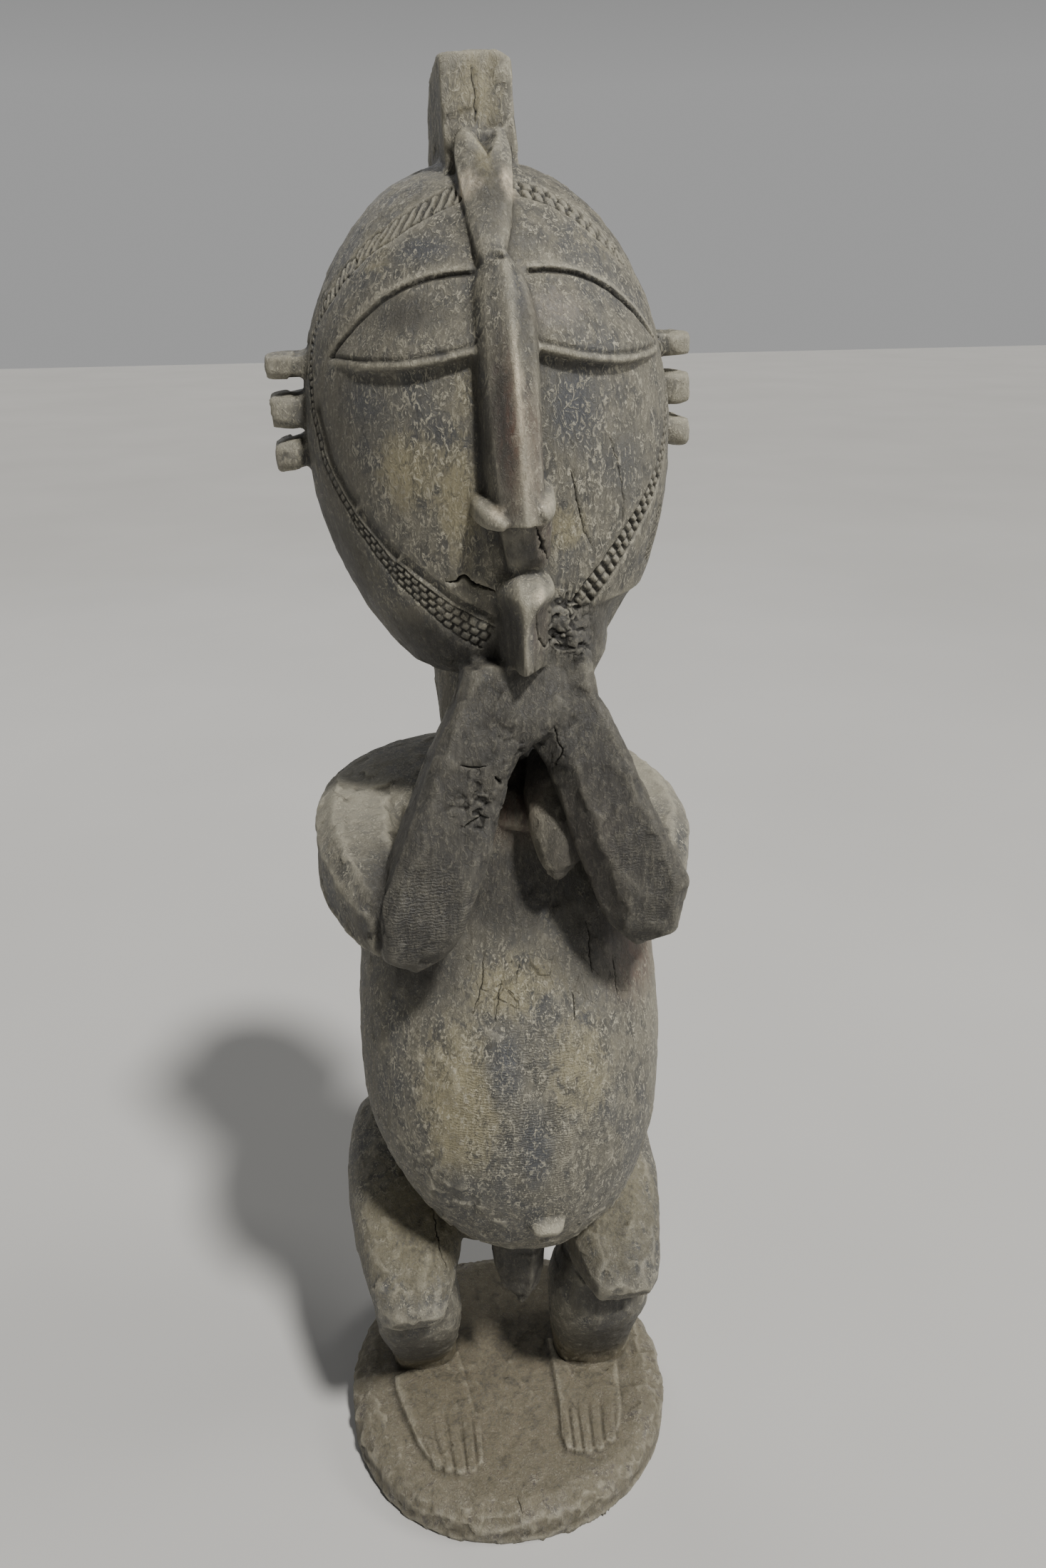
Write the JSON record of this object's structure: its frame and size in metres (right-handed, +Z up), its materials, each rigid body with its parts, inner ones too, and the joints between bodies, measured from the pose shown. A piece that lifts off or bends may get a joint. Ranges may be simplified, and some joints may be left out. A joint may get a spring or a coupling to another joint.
{
  "type": "carved standing figure",
  "caption": "Standing female figure with a large shield-shaped head, hands raised to the chin, a swelling belly and bent legs, carved with its round base from one log.",
  "frame": {"origin": "centre of the round base's flat underside", "axes": "+Z up along the standing figure, the figure faces -Y, and +X points to the figure's left (the viewer's right)"},
  "size_m": [0.2924, 0.2945, 1.1],
  "materials": {
    "weathered_wood": "dry, weathered and matt, with a worn sheen on the ridge of the nose"
  },
  "bodies": {
    "root": {"nimba_figure": "weathered_wood"}
  },
  "joints": []
}
